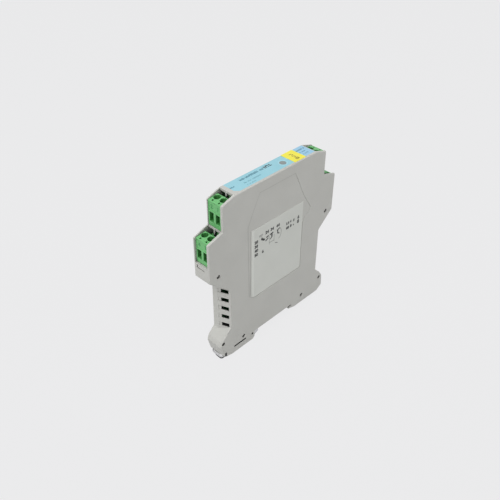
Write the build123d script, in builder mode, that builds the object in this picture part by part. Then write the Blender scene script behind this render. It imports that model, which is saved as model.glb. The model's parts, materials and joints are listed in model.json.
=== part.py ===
from build123d import *
import math
import os

os.makedirs("parts", exist_ok=True)

# Slim rail-mounted temperature transmitter, in millimetres.
# X runs along the long side, Y through the thickness, Z away from the rail.
# The origin is the middle of the rail seat; the removable side cover is on -Y.

# Housing outline
length = 110.0
width = 12.6
height = 112.8
front_half = 34.3
step_half = 43.9
waist_half = 42.6
slope_angle = 18.0
wall = 1.2
rim = 1.4
rib = 1.2
edge_break = 0.5
slope_recess = 0.2
ledge_drop = 0.1
end_wall_height = 10.5
underside_drop = 11.0
waist_radius = 1.6

# 35 mm top-hat rail and the two feet
rail_width = 35.0
rail_lip = 1.3
rail_play = 0.3
hook_reach = 2.0
hook_drop = 4.0
hook_foot_half = 50.8
catch_foot_half = 48.8
catch_foot_drop = 6.2
foot_top = 19.0
foot_radius = 2.0

# Bevelled corners with their vent slots
bevel_inset = 3.6
bevel_depth = 7.9
bevel_foot = 17.5
vent_count = 5
vent_height = 3.0
vent_first = 19.0
vent_head = 5.1
vent_margin = 0.8
vent_end = 6.0
vent_wall = 1.0
vent_groove = 0.35

# Side cover windows, snap posts and the shallow label panel
window_hole_radius = 1.4
post_length = 1.5
post_height = 1.1
post_gap = 1.0
panel_depth = 0.25
panel_groove = 0.3
slit_length = 10.2
slit_height = 0.9
gauge_hole_radius = 0.65

# Key post above each plug and latch slit below the lower plugs
key_width = 1.1
key_depth = 1.5
latch_drop = 3.2
latch_slit = 0.8
latch_far = 3.9
latch_near = 2.4

# Front label, marker and status window
label_recess = 0.2
front_label_left = 31.4
front_label_right = 33.9
front_label_near = 5.05
front_label_far = 5.75
front_label_cut = 2.4
marker_width = 9.7
marker_near = 5.7
marker_far = 6.0
marker_centre = 20.35
marker_thickness = 0.15
window_radius = 2.1
window_centre = 10.1
window_offset = 0.8
window_fit = 0.05
light_stem_half = 1.3
light_stem_length = 3.4

# Side label
side_label_thickness = 0.15
side_label_left = 20.8
side_label_right = 23.9
side_label_bottom = 31.1
side_label_top = 81.3
side_label_cut_x = 3.7
side_label_cut_z = 2.3
label_margin = 1.2

# Two-pole plug, measured from its outer face (u) and its underside (w)
plug_face_height = 16.3
plug_depth = 17.5
plug_tail_height = 13.0
plug_head_length = 7.2
plug_head_rise = 0.9
upper_plug_inset = 0.3
lower_plug_inset = 1.2
plug_half_width = 5.0
pole_pitch = 5.0
band_height = 9.8
band_depth = 0.35
funnel_width = 3.3
funnel_height = 6.3
funnel_foot = 2.8
funnel_depth = 2.9
throat_width = 2.7
throat_height = 2.5
throat_foot = 4.75
test_hole = 1.2
test_hole_inset = 1.4
test_hole_depth = 5.0

# Rising cage clamp and its captive screw
screw_inset = 4.7
screw_access_radius = 2.05
screw_head_radius = 1.8
screw_head_height = 1.4
screw_slot_width = 0.6
screw_slot_depth = 0.7
shank_radius = 1.2
shank_fit = 0.05
cage_width = 3.7
cage_length = 2.8
cage_bar = 0.8
cage_opening_width = 2.7
cage_opening = 3.1
cage_foot = 4.0
cage_travel = 2.3
cage_clearance = 0.1
web = 0.3

# Plug contact and header pin
strip_width = 2.3
strip_thickness = 0.6
strip_height = 7.2
socket_start = 7.8
socket_end = 16.6
socket_size = 2.6
socket_fit = 0.05
pin_size = 1.0
pin_tip = 8.8
pin_height = 7.3
header_length = 3.0
header_gap = 0.2
tail_first = 22.5
tail_step = 2.5

# Circuit board
board_front = 3.2
board_thickness = 1.6
board_foot = 9.0
board_half = 37.3
board_gap = 0.4
board_clear = 1.0
board_top_gap = 3.3
peg_radius = 0.95
peg_hole_radius = 1.0
boss_radius = 2.0
peg_reach = 1.0

# Foot catch
catch_width = 9.8
catch_reach = 4.0
catch_top = 2.6
catch_bottom = 5.5
catch_tail = 4.5
catch_tongue_reach = 3.0
catch_tongue_width = 9.4
catch_tongue_drop = 4.6
catch_tongue_thickness = 1.1
catch_tongue_radius = 2.4
catch_gap = 0.1
catch_slot_length = 2.0
catch_slot_width = 4.4
catch_nose = 3.8
catch_nose_tip = 2.1
catch_travel = 4.5

half_length = length / 2
half_width = width / 2
inner_face = half_width - wall
slope = math.tan(math.radians(slope_angle))
upper_shoulder = height - (step_half - front_half) * slope
upper_plug_foot = upper_shoulder - slope_recess - plug_face_height
lower_slope_top = upper_plug_foot - ledge_drop
lower_shoulder = lower_slope_top - (half_length - step_half) * slope
lower_plug_foot = lower_shoulder - slope_recess - plug_face_height
end_wall_foot = lower_plug_foot - end_wall_height
waist_top = end_wall_foot - underside_drop
vent_pitch = (waist_top - vent_head - vent_first) / (vent_count - 1)
rail_half = rail_width / 2
header_top = plug_tail_height + header_gap
upper_plug_face = step_half - upper_plug_inset
lower_plug_face = half_length - lower_plug_inset
header_start = plug_depth + header_gap
bay_depth = header_start + header_length
catch_end = catch_foot_half - catch_tail

# side sign, plug face, plug underside, edge of the plates, start of the open space above the plug
bays = {
    "upper_left": (-1, upper_plug_face, upper_plug_foot, step_half, front_half),
    "lower_left": (-1, lower_plug_face, lower_plug_foot, half_length, step_half),
    "upper_right": (1, upper_plug_face, upper_plug_foot, step_half, front_half),
    "lower_right": (1, lower_plug_face, lower_plug_foot, half_length, step_half),
}
poles = {"a": -pole_pitch / 2, "b": pole_pitch / 2}


def side_plane(y):
    """Plane parallel to the side faces, facing -Y, with X right and Z up."""
    return Plane.XZ.offset(-y)


def bay_plane(bay, y=0.0):
    """Plane of one bay, with u inwards from the plug's face and w up from its underside."""
    side, face, foot, edge, opening = bay
    return Plane(origin=(side * face, y, foot), x_dir=(-side, 0, 0), z_dir=(0, side, 0))


# Outline of both side walls, from the rail seat round the fixed hook, the right end,
# the front, the left end and the foot that holds the catch.
outline_points = [
    (-rail_half - rail_play, 0),
    (rail_half + rail_play, 0),
    (rail_half + rail_play, -rail_lip),
    (rail_half + rail_play - hook_reach, -rail_lip),
    (rail_half + rail_play - hook_reach, -hook_drop + 1.5),
    (rail_half + rail_play - hook_reach + 5.5, -hook_drop),
    (hook_foot_half - 5.0, -hook_drop),
    (hook_foot_half, -hook_drop + 3.4),
    (hook_foot_half - 0.4, foot_top - 11.0),
    (hook_foot_half - 3.3, foot_top - 6.7),
    (waist_half, foot_top - 2.0),
    (waist_half, waist_top),
    (half_length, end_wall_foot),
    (half_length, lower_shoulder),
    (step_half, lower_slope_top),
    (step_half, upper_shoulder),
    (front_half, height),
    (-front_half, height),
    (-step_half, upper_shoulder),
    (-step_half, lower_slope_top),
    (-half_length, lower_shoulder),
    (-half_length, end_wall_foot),
    (-waist_half, waist_top),
    (-waist_half, foot_top - 4.2),
    (-catch_foot_half + 1.3, foot_top - 9.3),
    (-catch_foot_half, foot_top - 12.6),
    (-catch_foot_half + 2.4, -catch_foot_drop + 3.4),
    (-catch_foot_half + 4.6, -catch_foot_drop + 1.3),
    (-catch_foot_half + 9.6, -catch_foot_drop),
    (-rail_half - rail_play - 2.0, -catch_foot_drop),
    (-rail_half - rail_play, -catch_foot_drop + 2.0),
]
outline_radii = [0, 0, 0, 0, 0, 0, foot_radius, 1.5, 0, 1.5, 3.0]
outline_radii += [waist_radius, 0.8, 0.8, 0, 0.8]
outline_radii += [0, 0, 0.8, 0, 0.8, 0.8, waist_radius]
outline_radii += [3.0, 1.5, foot_radius, 0, 1.5, 0, 0, 0]

with BuildSketch() as outline:
    with BuildLine():
        FilletPolyline(*outline_points, radius=outline_radii, close=True)
    make_face()

# The space inside the perimeter wall
with BuildSketch() as inner_outline:
    offset(outline.sketch, amount=-rim, kind=Kind.INTERSECTION)


def bevel_cutter(side):
    """Wedge that bevels a lower corner; side -1 is the left end on the near side, +1 its opposite."""
    near_x = waist_half - bevel_inset
    run = bevel_inset / bevel_depth
    reach = 5.0
    with BuildPart() as bevel:
        with BuildSketch(Plane.XY):
            with BuildLine():
                Polyline(
                    (side * (near_x - run), side * (half_width + 1)),
                    (side * (waist_half + reach), side * (half_width - bevel_depth - reach / run)),
                    (side * (waist_half + reach), side * (half_width + 1)),
                    close=True,
                )
            make_face()
        extrude(amount=waist_top + reach)
        rise = underside_drop / (half_length - waist_half)
        with BuildSketch(Plane.XZ):
            with BuildLine():
                Polyline(
                    (side * (near_x - 1), bevel_foot + 0.8),
                    (side * (waist_half + reach), bevel_foot - 0.8 * (bevel_inset + reach)),
                    (side * (waist_half + reach), waist_top + rise * reach),
                    (side * (near_x - 1), waist_top - rise * (bevel_inset + 1)),
                    close=True,
                )
            make_face()
        extrude(amount=width * 2, both=True, mode=Mode.INTERSECT)
    return bevel.part


bevels = {side: bevel_cutter(side) for side in (-1, 1)}

# Snap posts and windows, as (X, Z) of each window's middle
snap_points = [
    (-half_length + 7.0, end_wall_foot + 1.5),
    (half_length - 7.0, end_wall_foot + 1.5),
    (-catch_foot_half + 2.7, foot_top - 11.0),
    (hook_foot_half - 3.8, foot_top - 11.0),
    (-rail_half - 10.8, 2.9),
    (rail_half + 10.8, 2.9),
]
# Round locating pegs and square supports of the board, in opposite corners
peg_points = [
    (-board_half + 4.3, end_wall_foot + 1.5),
    (board_half - 7.3, board_foot + 5.0),
]
support_points = [
    (board_half - 4.3, end_wall_foot + 1.5),
    (-board_half + 7.3, board_foot + 5.0),
]
catch_ceiling = -catch_top + catch_gap
nose_ceiling = -rail_lip + catch_gap
nose_tip = -rail_half + catch_reach
nose_back = -rail_half - 3.4 - catch_travel - catch_gap

# Front label, with its near left corner cut off
with BuildSketch() as front_label_outline:
    with BuildLine():
        Polyline(
            (-front_label_left, front_label_far),
            (front_label_right, front_label_far),
            (front_label_right, -front_label_near),
            (-front_label_left + front_label_cut, -front_label_near),
            (-front_label_left, -front_label_near + front_label_cut),
            close=True,
        )
    make_face()

# Perimeter wall with its bay floors, bay openings, foot blocks and catch channel
with BuildSketch() as walls:
    add(outline.sketch)
    add(inner_outline.sketch, mode=Mode.SUBTRACT)
    for side, face, foot, edge, opening in bays.values():
        bay_floor = foot - header_gap / 2
        bay_back = face - bay_depth
        with Locations((side * (edge + bay_back) / 2, bay_floor - rib / 2)):
            Rectangle(edge - bay_back, rib)
        with BuildLine():
            Polyline(
                (side * (edge + 2), bay_floor),
                (side * bay_back, bay_floor),
                (side * bay_back, foot + header_top),
                (side * opening, foot + header_top),
                (side * opening, height + 1),
                (side * (edge + 2), height + 1),
                close=True,
            )
        make_face(mode=Mode.SUBTRACT)
    for side in (-1, 1):
        block_start = waist_half - bevel_inset - rib
        with Locations((side * (block_start + catch_foot_half) / 2, bevel_foot - 4.1)):
            Rectangle(catch_foot_half - block_start, 7.8)
    channel_left = -catch_foot_half - 4
    with Locations(((channel_left + nose_back - rib) / 2, catch_ceiling + rib / 2)):
        Rectangle(nose_back - rib - channel_left, rib)
    with Locations((nose_back - rib / 2, (catch_ceiling + nose_ceiling + rib) / 2)):
        Rectangle(rib, nose_ceiling + rib - catch_ceiling)
    with Locations(((nose_back - rail_half) / 2, nose_ceiling + rib / 2)):
        Rectangle(-rail_half - nose_back, rib)
    add(outline.sketch, mode=Mode.INTERSECT)
    channel_height = catch_bottom - catch_top + 2 * catch_gap
    with Locations(((channel_left - rail_half) / 2, catch_ceiling - channel_height / 2)):
        Rectangle(-rail_half - channel_left, channel_height, mode=Mode.SUBTRACT)
    with Locations(((nose_back - rail_half + 2) / 2, (nose_ceiling + catch_ceiling) / 2)):
        Rectangle(-rail_half + 2 - nose_back, nose_ceiling - catch_ceiling, mode=Mode.SUBTRACT)

# Moulded housing: far side wall, perimeter wall, terminal bays, vents, rail hook and catch channel
with BuildPart() as housing_shell:
    with BuildSketch(side_plane(half_width)):
        add(outline.sketch)
    extrude(amount=wall + 2 * inner_face)
    chamfer(housing_shell.edges().group_by(Axis.Y)[-1], edge_break)
    with BuildSketch(side_plane(inner_face)):
        add(outline.sketch)
        add(walls.sketch, mode=Mode.SUBTRACT)
    extrude(amount=2 * inner_face, mode=Mode.SUBTRACT)
    for name, bay in bays.items():
        side, face, foot, edge, opening = bay
        key_top = height - rim / 2 if edge == step_half else lower_slope_top - rib / 2
        with BuildSketch(bay_plane(bay)):
            with Locations((face - opening + key_depth / 4, (header_top + key_top - foot) / 2)):
                Rectangle(key_depth, key_top - foot - header_top)
        extrude(amount=key_width / 2, both=True)
    for side in (-1, 1):
        end_plane = Plane(
            origin=(side * (half_length + 1), 0, lower_plug_foot - latch_drop),
            x_dir=(0, 1, 0),
            z_dir=(1, 0, 0),
        )
        with BuildSketch(end_plane):
            with Locations(((latch_far - latch_near) / 2, 0)):
                Rectangle(latch_far + latch_near, latch_slit)
            with Locations((latch_far - latch_slit / 2, (latch_drop - rib) / 2)):
                Rectangle(latch_slit, latch_drop - rib)
        extrude(amount=-side * (rim + 2), mode=Mode.SUBTRACT)
    for side, cutter in bevels.items():
        near_x = waist_half - bevel_inset
        run = bevel_inset / bevel_depth
        wall_end = bevel_depth + rib
        with BuildSketch(Plane.XY.offset(bevel_foot - 2)):
            with BuildLine():
                Polyline(
                    (side * (near_x + run * wall - vent_wall), side * inner_face),
                    (side * (near_x + 3.0), side * inner_face),
                    (side * (waist_half - 0.1), side * (inner_face - 2.0)),
                    (side * (waist_half - 0.1), side * (half_width - wall_end)),
                    (side * (near_x + run * wall_end - vent_wall), side * (half_width - wall_end)),
                    close=True,
                )
            make_face()
        extrude(amount=waist_top - bevel_foot)
        add(cutter, mode=Mode.SUBTRACT)
        vent_middle = (side * (near_x + 2.0), side * (half_width - (vent_end + vent_margin) / 2))
        groove_foot = near_x + run * vent_end
        groove_head = near_x + run * (bevel_depth - 0.3)
        for number in range(vent_count):
            with BuildSketch(Plane.XY.offset(vent_first - vent_height / 2 + number * vent_pitch)):
                with Locations(vent_middle):
                    Rectangle(12.0, vent_end - vent_margin)
                with BuildLine():
                    Polyline(
                        (side * (groove_foot + 2), side * (half_width - vent_end)),
                        (side * (groove_head + 2), side * (half_width - bevel_depth + 0.3)),
                        (side * (groove_head - vent_groove), side * (half_width - bevel_depth + 0.3)),
                        (side * (groove_foot - vent_groove), side * (half_width - vent_end)),
                        close=True,
                    )
                make_face()
            extrude(amount=vent_height, mode=Mode.SUBTRACT)
    with BuildSketch(side_plane(inner_face)):
        with Locations(*snap_points):
            Rectangle(post_length, post_height)
    extrude(amount=2 * inner_face + wall - post_gap)
    with BuildSketch(side_plane(inner_face)):
        with Locations(*peg_points, *support_points):
            Rectangle(2 * boss_radius, 2 * boss_radius)
    extrude(amount=inner_face - board_front - board_thickness)
    with BuildSketch(side_plane(inner_face)):
        with Locations(*peg_points):
            Circle(peg_radius)
    extrude(amount=inner_face - board_front + peg_reach)
    with BuildSketch(Plane.XY.offset(height)):
        add(front_label_outline.sketch)
    extrude(amount=-label_recess, mode=Mode.SUBTRACT)
    with BuildSketch(Plane.XY.offset(height)):
        with Locations((window_centre, -window_offset)):
            Circle(window_radius + window_fit)
    extrude(amount=-rim * 2, mode=Mode.SUBTRACT)
housing_shell.part.label = "housing_shell"
export_step(housing_shell.part, "parts/housing_shell.step")

# Recessed panel that frames the side label
panel_points = [
    (-14.6, height - 6.9),
    (15.8, height - 6.9),
    (side_label_right + 0.6, side_label_top + 5.7),
    (side_label_right + 8.5, side_label_top - 6.9),
    (side_label_right + label_margin, side_label_top - 14.5),
    (side_label_right + label_margin, side_label_bottom - label_margin),
    (-side_label_left + side_label_cut_x - 1.5, side_label_bottom - label_margin),
    (-side_label_left - 2.7, side_label_bottom + side_label_cut_z),
    (-side_label_left - 3.6, side_label_top + 4.8),
    (-side_label_left + 0.8, side_label_top + 14.2),
]
label_points = [
    (-side_label_left, side_label_bottom + side_label_cut_z),
    (-side_label_left + side_label_cut_x, side_label_bottom),
    (side_label_right, side_label_bottom),
    (side_label_right, side_label_top),
    (-side_label_left, side_label_top),
]
with BuildSketch() as panel_outline:
    with BuildLine():
        Polyline(*panel_points, close=True)
    make_face()

with BuildSketch() as label_outline:
    with BuildLine():
        Polyline(*label_points, close=True)
    make_face()

# Near side cover with its snap windows, flexing slit, label panel and board posts
with BuildPart() as side_cover:
    with BuildSketch(side_plane(-inner_face)):
        add(outline.sketch)
    extrude(amount=wall)
    chamfer(side_cover.edges().group_by(Axis.Y)[0], edge_break)
    with BuildSketch(side_plane(-inner_face)):
        with Locations(*snap_points):
            RegularPolygon(window_hole_radius, 12)
        with Locations((-rail_half - 14.1, -0.5)):
            Rectangle(slit_length, slit_height)
        with Locations((-rail_half - 2.8, -0.6)):
            RegularPolygon(gauge_hole_radius, 8)
    extrude(amount=wall, mode=Mode.SUBTRACT)
    with BuildSketch(side_plane(-half_width)):
        add(panel_outline.sketch)
    extrude(amount=-panel_depth, mode=Mode.SUBTRACT)
    with BuildSketch(side_plane(-half_width)):
        add(panel_outline.sketch)
        offset(panel_outline.sketch, amount=-panel_groove, kind=Kind.INTERSECTION, mode=Mode.SUBTRACT)
        with Locations((0, 0)):
            offset(label_outline.sketch, amount=0.8, kind=Kind.INTERSECTION)
            offset(label_outline.sketch, amount=0.8 - panel_groove, kind=Kind.INTERSECTION, mode=Mode.SUBTRACT)
    extrude(amount=-panel_depth - panel_groove, mode=Mode.SUBTRACT)
    add(bevels[-1], mode=Mode.SUBTRACT)
    with BuildSketch(side_plane(-inner_face)):
        with Locations(*peg_points, *support_points):
            Rectangle(2 * boss_radius, 2 * boss_radius)
        with Locations(*peg_points):
            Circle(peg_hole_radius, mode=Mode.SUBTRACT)
    extrude(amount=-(inner_face + board_front))
side_cover.part.label = "side_cover"
export_step(side_cover.part, "parts/side_cover.step")

# Blue front label, let into the front of the housing
with BuildPart() as front_label:
    with BuildSketch(Plane.XY.offset(height - label_recess)):
        add(front_label_outline.sketch)
        with Locations((window_centre, -window_offset)):
            Circle(window_radius + window_fit, mode=Mode.SUBTRACT)
    extrude(amount=label_recess)
front_label.part.label = "front_label"
export_step(front_label.part, "parts/front_label.step")

# Yellow tag across the front
with BuildPart() as marker_tag:
    with BuildSketch(Plane.XY.offset(height)):
        with Locations((marker_centre, (marker_far - marker_near) / 2)):
            RectangleRounded(marker_width, marker_far + marker_near, 0.5)
    extrude(amount=marker_thickness)
marker_tag.part.label = "marker_tag"
export_step(marker_tag.part, "parts/marker_tag.step")

# Light pipe with its round window flush in the front
with BuildPart() as light_pipe:
    with BuildSketch(Plane.XY.offset(height)):
        with Locations((window_centre, -window_offset)):
            Circle(window_radius)
    extrude(amount=-rim)
    with BuildSketch(Plane.XY.offset(height - rim)):
        with Locations((window_centre, -window_offset)):
            Rectangle(2 * light_stem_half, 2 * light_stem_half)
    extrude(amount=-(light_stem_length - rim))
light_pipe.part.label = "light_pipe"
export_step(light_pipe.part, "parts/light_pipe.step")

# Silver-grey wiring label in the cover's panel
with BuildPart() as side_label:
    with BuildSketch(side_plane(-half_width + panel_depth)):
        add(label_outline.sketch)
    extrude(amount=side_label_thickness)
side_label.part.label = "side_label"
export_step(side_label.part, "parts/side_label.step")

# Circuit board, stepped round the four terminal bays
upper_board_half = upper_plug_face - bay_depth - board_gap
lower_board_half = lower_plug_face - bay_depth - board_gap
board_top = height - board_top_gap
board_step = upper_plug_foot - rib - board_clear
board_waist = lower_plug_foot - rib - board_clear
with BuildPart() as circuit_board:
    with BuildSketch(side_plane(board_front + board_thickness)):
        with BuildLine():
            Polyline(
                (-board_half, board_foot),
                (board_half, board_foot),
                (board_half, board_waist),
                (lower_board_half, board_waist),
                (lower_board_half, board_step),
                (upper_board_half, board_step),
                (upper_board_half, board_top),
                (-upper_board_half, board_top),
                (-upper_board_half, board_step),
                (-lower_board_half, board_step),
                (-lower_board_half, board_waist),
                (-board_half, board_waist),
                close=True,
            )
        make_face()
        with Locations(*peg_points):
            Circle(peg_hole_radius, mode=Mode.SUBTRACT)
        for side, face, foot, edge, opening in bays.values():
            for number in range(2):
                tail = tail_first + number * tail_step
                with Locations((side * (face - tail), foot + pin_height)):
                    Rectangle(pin_size + 0.1, pin_size + 0.1, mode=Mode.SUBTRACT)
    extrude(amount=board_thickness)
circuit_board.part.label = "circuit_board"
export_step(circuit_board.part, "parts/circuit_board.step")

# Pin headers and their angled pins, one pair to each bay
for name, bay in bays.items():
    side, face, foot, edge, opening = bay
    with BuildPart() as pin_header:
        with BuildSketch(bay_plane(bay)):
            with Locations((header_start + header_length / 2, (header_top - header_gap / 2) / 2)):
                Rectangle(header_length, header_top + header_gap / 2)
        extrude(amount=plug_half_width, both=True)
        with BuildSketch(bay_plane(bay)):
            with Locations((header_start + 0.6, plug_tail_height / 2)):
                Rectangle(1.2, plug_tail_height - 3.0)
        extrude(amount=plug_half_width - 1.0, both=True, mode=Mode.SUBTRACT)
        for y in poles.values():
            with BuildSketch(bay_plane(bay, y)):
                with Locations((header_start + header_length / 2, pin_height)):
                    Rectangle(header_length * 2, pin_size)
            extrude(amount=pin_size / 2, both=True, mode=Mode.SUBTRACT)
    pin_header.part.label = f"header_{name}"
    export_step(pin_header.part, f"parts/header_{name}.step")

    with BuildPart() as header_pins:
        for number, y in enumerate(poles.values()):
            tail = tail_first + number * tail_step
            with BuildSketch(bay_plane(bay, y)):
                with Locations(((pin_tip + tail + pin_size / 2) / 2, pin_height)):
                    Rectangle(tail + pin_size / 2 - pin_tip, pin_size)
            extrude(amount=pin_size / 2, both=True)
            board_back = board_front + board_thickness
            with BuildSketch(side_plane(board_back)):
                with Locations((side * (face - tail), foot + pin_height)):
                    Rectangle(pin_size, pin_size)
            extrude(amount=board_back - y)
    header_pins.part.label = f"header_pins_{name}"
    export_step(header_pins.part, f"parts/header_pins_{name}.step")

# Plugs with their contacts, cage clamps and screws
chamber_width = cage_width + 2 * cage_clearance
chamber_length = cage_length + 2 * cage_clearance
chamber_top = strip_height + strip_thickness + cage_travel + 2 * cage_clearance + cage_bar
web_top = chamber_top + web
for name, bay in bays.items():
    side, face, foot, edge, opening = bay
    head_top = plug_face_height + plug_head_rise
    with BuildPart() as plug:
        with BuildSketch(bay_plane(bay)):
            with BuildLine():
                Polyline(
                    (0, 0),
                    (0, plug_face_height),
                    (plug_head_length, head_top),
                    (plug_head_length, plug_tail_height),
                    (plug_depth, plug_tail_height),
                    (plug_depth, 0),
                    close=True,
                )
            make_face()
        extrude(amount=plug_half_width, both=True)
        with BuildSketch(bay_plane(bay)):
            band_top = plug_face_height - 0.7
            with Locations((0, (band_height + band_top) / 2)):
                Rectangle(2 * band_depth, band_top - band_height)
        extrude(amount=plug_half_width - 0.5, both=True, mode=Mode.SUBTRACT)
        for y in poles.values():
            with BuildSketch(bay_plane(bay, y)):
                with Locations((funnel_depth / 2, funnel_foot + funnel_height / 2)):
                    Rectangle(funnel_depth, funnel_height)
            extrude(amount=funnel_width / 2, both=True, mode=Mode.SUBTRACT)
            with BuildSketch(bay_plane(bay, y)):
                with Locations((screw_inset / 2, throat_foot + throat_height / 2)):
                    Rectangle(screw_inset, throat_height)
            extrude(amount=throat_width / 2, both=True, mode=Mode.SUBTRACT)
            with BuildSketch(bay_plane(bay, y)):
                with Locations((screw_inset, chamber_top / 2)):
                    Rectangle(chamber_length, chamber_top)
            extrude(amount=chamber_width / 2, both=True, mode=Mode.SUBTRACT)
            pocket = socket_size + 2 * cage_clearance
            with BuildSketch(bay_plane(bay, y)):
                with Locations(((screw_inset + plug_depth) / 2, pin_height)):
                    Rectangle(plug_depth - screw_inset, pocket)
            extrude(amount=pocket / 2, both=True, mode=Mode.SUBTRACT)
            x = side * (face - screw_inset)
            with BuildSketch(Plane(origin=(x, y, foot + web_top))):
                Circle(screw_access_radius)
            extrude(amount=head_top, mode=Mode.SUBTRACT)
            with BuildSketch(Plane(origin=(x, y, foot + chamber_top - 0.1))):
                Circle(shank_radius + shank_fit)
            extrude(amount=web + 0.2, mode=Mode.SUBTRACT)
            with BuildSketch(Plane(origin=(side * (face - test_hole_inset), y, foot + head_top))):
                Rectangle(test_hole, test_hole)
            extrude(amount=-test_hole_depth, mode=Mode.SUBTRACT)
    plug.part.label = f"plug_{name}"
    export_step(plug.part, f"parts/plug_{name}.step")

    with BuildPart() as plug_contacts:
        for y in poles.values():
            with BuildSketch(bay_plane(bay, y)):
                strip_start = screw_inset - cage_length / 2
                with Locations(
                    ((socket_start + strip_start) / 2, strip_height + strip_thickness / 2)
                ):
                    Rectangle(socket_start - strip_start, strip_thickness)
            extrude(amount=strip_width / 2, both=True)
            with BuildSketch(bay_plane(bay, y)):
                with Locations(((socket_start + socket_end) / 2, pin_height)):
                    Rectangle(socket_end - socket_start, socket_size)
            extrude(amount=socket_size / 2, both=True)
            with BuildSketch(bay_plane(bay, y)):
                with Locations(((pin_tip - 0.4 + socket_end) / 2, pin_height)):
                    Rectangle(socket_end - pin_tip + 0.4, pin_size + 2 * socket_fit)
            extrude(amount=pin_size / 2 + socket_fit, both=True, mode=Mode.SUBTRACT)
    plug_contacts.part.label = f"plug_contacts_{name}"
    export_step(plug_contacts.part, f"parts/plug_contacts_{name}.step")

    for pole, y in poles.items():
        cage_height = cage_opening + 2 * cage_bar
        cage_foot_w = strip_height + strip_thickness + cage_clearance + cage_bar - cage_height
        with BuildPart() as clamp_cage:
            with BuildSketch(bay_plane(bay, y)):
                with Locations((screw_inset, cage_foot_w + cage_height / 2)):
                    Rectangle(cage_length, cage_height)
            extrude(amount=cage_width / 2, both=True)
            with BuildSketch(bay_plane(bay, y)):
                with Locations((screw_inset, cage_foot_w + cage_height / 2)):
                    Rectangle(cage_length, cage_opening)
            extrude(amount=cage_opening_width / 2, both=True, mode=Mode.SUBTRACT)
            x = side * (face - screw_inset)
            with BuildSketch(Plane(origin=(x, y, foot + cage_foot_w + cage_height + 0.1))):
                Circle(shank_radius + shank_fit)
            extrude(amount=-cage_bar - 0.2, mode=Mode.SUBTRACT)
        clamp_cage.part.label = f"cage_{name}_{pole}"
        export_step(clamp_cage.part, f"parts/cage_{name}_{pole}.step")

        with BuildPart() as screw:
            with BuildSketch(Plane(origin=(x, y, foot + web_top))):
                Circle(screw_head_radius)
            extrude(amount=screw_head_height)
            shank_length = web_top - strip_height - strip_thickness - shank_fit
            with BuildSketch(Plane(origin=(x, y, foot + web_top))):
                Circle(shank_radius)
            extrude(amount=-shank_length)
            with BuildSketch(Plane(origin=(x, y, foot + web_top + screw_head_height))):
                Rectangle(screw_head_radius * 2, screw_slot_width)
            extrude(amount=-screw_slot_depth, mode=Mode.SUBTRACT)
        screw.part.label = f"screw_{name}_{pole}"
        export_step(screw.part, f"parts/screw_{name}_{pole}.step")

# Sprung rail catch, pulled outwards by a screwdriver in its end slot, with a rounded tongue that stands out
with BuildPart() as foot_catch:
    with BuildSketch(Plane.XZ):
        with BuildLine():
            FilletPolyline(
                (nose_tip, -rail_lip),
                (nose_tip, -rail_lip - catch_nose_tip),
                (nose_tip - catch_nose, -catch_bottom + 0.4),
                (nose_tip - catch_nose - 2.0, -catch_bottom),
                (-catch_end + 0.7, -catch_bottom),
                (-catch_end, -catch_bottom + 0.9),
                (-catch_end, -catch_top),
                (-rail_half - 3.4, -catch_top),
                (-rail_half - 2.0, -rail_lip),
                radius=[0, 0.4, 0.6, 0, 0, 0, 0, 0, 0],
                close=True,
            )
        make_face()
    extrude(amount=catch_width / 2, both=True)
    with BuildSketch(Plane.XY.offset(-catch_top)):
        with Locations((-catch_end + catch_slot_length / 2 + 1.0, 0)):
            Rectangle(catch_slot_length, catch_slot_width)
    extrude(amount=-(catch_bottom - catch_top), mode=Mode.SUBTRACT)
    with BuildSketch(Plane.XY.offset(-catch_tongue_drop)) as tongue:
        with Locations((-catch_end - catch_tongue_reach / 2 + 0.3, 0)):
            Rectangle(catch_tongue_reach + 0.6, catch_tongue_width)
        fillet(tongue.vertices().group_by(Axis.X)[0], catch_tongue_radius)
    extrude(amount=catch_tongue_thickness)
foot_catch.part.label = "foot_catch"
export_step(foot_catch.part, "parts/foot_catch.step")

# Parts soldered to the front of the board, as node: (size X, size Z, height, places)
logic_row = board_waist - 11.2
resistor_rows = [board_foot + 15.0, board_foot + 21.0, board_foot + 27.0]
resistor_columns = [-board_half + 13.3, -board_half / 4.6, board_half / 4.6, board_half - 13.3]
diode_column = lower_board_half - 8.9
board_parts = {
    "isolation_transformer": (13.0, 12.0, 7.4, [(0.0, board_step - 7.5)]),
    "microcontroller": (10.0, 10.0, 1.4, [(-8.0, logic_row)]),
    "converter_chip": (5.3, 6.2, 1.6, [(-25.0, logic_row)]),
    "optocoupler": (6.6, 4.6, 3.4, [(17.0, board_step - 9.5)]),
    "loop_inductor": (8.0, 8.0, 4.2, [(window_centre + 3.9, board_step + 3.5)]),
    "storage_capacitors": (7.3, 4.3, 2.9, [(-10.0, board_step + 6.5), (1.0, board_step + 6.5)]),
    "loop_regulator": (6.5, 3.5, 1.6, [(18.0, logic_row + 2.0)]),
    "quartz_crystal": (11.0, 4.7, 3.4, [(-8.0, logic_row - 14.0)]),
    "suppressor_diodes": (
        4.6,
        2.6,
        2.2,
        [(diode_column, board_step - 3.5), (diode_column, board_waist + 2.8)],
    ),
    "chip_resistors": (3.2, 1.6, 0.6, [(x, z) for z in resistor_rows for x in resistor_columns]),
}
for name, (size_x, size_z, part_height, places) in board_parts.items():
    with BuildPart() as board_part:
        with BuildSketch(side_plane(board_front)):
            with Locations(*places):
                Rectangle(size_x, size_z)
        extrude(amount=part_height)
        if part_height > 1:
            chamfer(board_part.edges().group_by(Axis.Y)[0], part_height / 8)
    board_part.part.label = name
    export_step(board_part.part, f"parts/{name}.step")

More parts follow.
